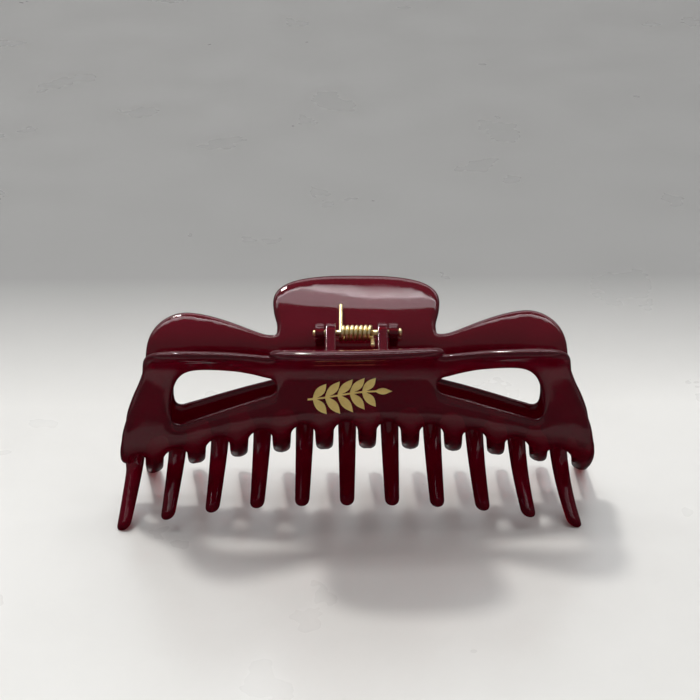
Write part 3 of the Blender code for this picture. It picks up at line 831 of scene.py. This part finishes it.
def pale_floor():
    """Pale honed stone, with painted shade that darkens it away from the camera, where the
    light falls off.
    """
    g = material_graph("pale_stone")
    veins = g.span(g.noise(scale=9.0, detail=7.0, rough=0.62), over=(0.42, 0.62))
    near = g.mix(veins, (0.73, 0.719, 0.688), (0.69, 0.679, 0.648))
    y = g.node("SeparateXYZ", {0: g.coord}).outputs["Y"]
    # painted shade: the floor fades darker towards the back
    colour = g.mix(g.span(y, over=(0.045, 0.125)), near, (0.27, 0.266, 0.257))
    # painted shade in reflections: for glossy rays only, the floor is darkened, most of all
    # well in front of the clip, and nearly black from under the clip backwards, where the clip
    # shades it
    waver = g.span(g.noise(scale=14.0, detail=2.0), over=(0.0, 1.0), to=(-0.012, 0.012))
    edge = g.math("ADD", y, waver)
    mirrored = g.node("LightPath").outputs["Is Glossy Ray"]
    for over, to, dark in (((-0.070, -0.062), (1.0, 0.40), (0.06, 0.06, 0.062)),
                           ((-0.034, -0.014), (0.0, 0.97), (0.014, 0.007, 0.008))):
        reflected_floor_shade = g.product(g.span(edge, over=over, to=to), mirrored)
        colour = g.mix(reflected_floor_shade, colour, dark)
    rough = g.span(g.noise(scale=30.0, detail=4.0), over=(0.3, 0.7), to=(0.26, 0.36))
    g.feed(g.shader, {"Base Color": colour, "Roughness": rough})
    return g.owner


PLASTIC = wine_plastic()
GOLD = gold(                     # bright plated wire
    "gold_wire_drawn", tones=((0.93, 0.80, 0.46), (0.80, 0.64, 0.32)),
    mottle=dict(scale=700.0, detail=4.0), mottle_over=(0.35, 0.7),
    dulling=dict(scale=1500.0, detail=4.0), rough=(0.24, 0.40),
    grain=dict(scale=2600.0), grain_depth=0.000004, metallic=1.0)
FOIL = gold(                     # pale satin foil
    "gold_foil_stamped", tones=((1.0, 0.77, 0.27), (0.92, 0.68, 0.21)),
    mottle=dict(scale=900.0, detail=5.0, rough=0.6), mottle_over=(0.3, 0.7),
    dulling=dict(scale=2200.0), rough=(0.38, 0.55),
    grain=dict(scale=3800.0), grain_depth=0.000003, metallic=0.12)

# ---- assembly --------------------------------------------------------------------------
sheet = jaw_sheet(SHEET_STEP)
front = jaw("front_jaw_shell", sheet, INNER_LUG, FRONT_LUG_TOP, flip=False)
rear = jaw("rear_jaw_shell", sheet, OUTER_LUG, REAR_LUG_TOP, flip=True)
pivot = pin()
coil = spring()
leaves = motif()

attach(front, "front")
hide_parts("front_jaw")
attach(leaves, "front")
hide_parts("gold_motif")
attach(rear, "rear")
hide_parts("rear_jaw")
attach(pivot, "rear")
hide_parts("pivot_pin")
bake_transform(coil)
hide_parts("torsion_spring")

# ---- floor, light and camera (metres) ----------------------------------------------
bpy.ops.mesh.primitive_plane_add(size=4.0, location=(0.0, 0.0, -0.00002))
floor = bpy.context.object
floor.name = "floor"
floor.data.materials.append(pale_floor())


def key_light():
    """Small square light high up behind the clip, to the left."""
    place = Vector((-0.30, 0.58, 1.10))
    aim = Vector((0.0, 0.0, 0.02))
    light = bpy.data.lights.new("key_back_left", "AREA")
    light.shape = "RECTANGLE"
    light.size = light.size_y = 0.14
    light.energy = 6.5
    light.color = (1.0, 0.985, 0.96)
    ob = bpy.data.objects.new("key_back_left", light)
    ob.location = place
    ob.rotation_euler = (aim - place).to_track_quat("-Z", "Y").to_euler()
    bpy.context.scene.collection.objects.link(ob)


def studio_world():
    """Dim room with a pale panel just behind overhead, a brighter streak in the
    panel, and a broad ceiling light further back."""
    world = bpy.data.worlds.new("studio")
    bpy.context.scene.world = world
    g = Graph(world, "Background", "Generated")
    dx, dy, dz = g.node("SeparateXYZ", {0: g.coord}).outputs
    # degrees from overhead, positive to the back
    tilt = g.product(g.math("ARCTAN2", dy, dz), 180.0 / math.pi)
    side = g.math("ABSOLUTE", dx)

    def step(value, dark, bright):
        """Smooth step from 0 at dark to 1 at bright."""
        return g.span(value, over=sorted((dark, bright)),
                      to=(0.0, 1.0) if dark < bright else (1.0, 0.0),
                      interpolation_type="SMOOTHSTEP")

    above = step(dz, 0.0, 0.15)

    def band(front_edge, back_edge, end_edge):
        """Light across the room; each edge is given as (dark, bright)."""
        return g.product(g.product(step(tilt, *front_edge), step(tilt, *back_edge)),
                         g.product(step(side, *end_edge), above))

    panel = band(front_edge=(3.0, 3.8), back_edge=(15.8, 14.8), end_edge=(0.80, 0.55))
    streak = g.product(panel, g.product(step(tilt, 11.4, 12.2), step(tilt, 15.4, 12.4)))
    ceiling = band(front_edge=(34.0, 38.0), back_edge=(64.0, 56.0), end_edge=(0.85, 0.55))
    panel_power, streak_power, ceiling_power, room_power = 3.2, 6.5, 2.0, 0.23
    glow = g.math("ADD",
                  g.math("ADD", g.product(panel, panel_power), g.product(streak, streak_power)),
                  g.math("ADD", g.product(ceiling, ceiling_power), room_power))
    g.feed(g.shader, {"Strength": glow, "Color": (0.97, 0.98, 1.0)})


def add_camera():
    """Camera in front of the clip, looking down at the pin, rolled slightly."""
    elevation, roll = math.radians(27.0), math.radians(-0.4)
    distance = 0.400
    to_camera = Vector((0.0, -math.cos(elevation), math.sin(elevation)))
    cam = bpy.data.cameras.new("camera")
    cam.sensor_width = 36.0
    cam.lens = 89.485714
    cam.shift_x = -0.0092857143
    cam.shift_y = -0.024285714
    cam.clip_start, cam.clip_end = 0.01, 20.0
    camera = bpy.data.objects.new("camera", cam)
    camera.location = Vector((0.0, 0.0, PIVOT_Z * MM)) + to_camera * distance
    turn = to_camera.to_track_quat("Z", "Y") @ Matrix.Rotation(roll, 4, "Z").to_quaternion()
    camera.rotation_euler = turn.to_euler()
    bpy.context.scene.collection.objects.link(camera)
    bpy.context.scene.camera = camera


key_light()
studio_world()
add_camera()
bpy.context.scene.view_settings.view_transform = "Standard"
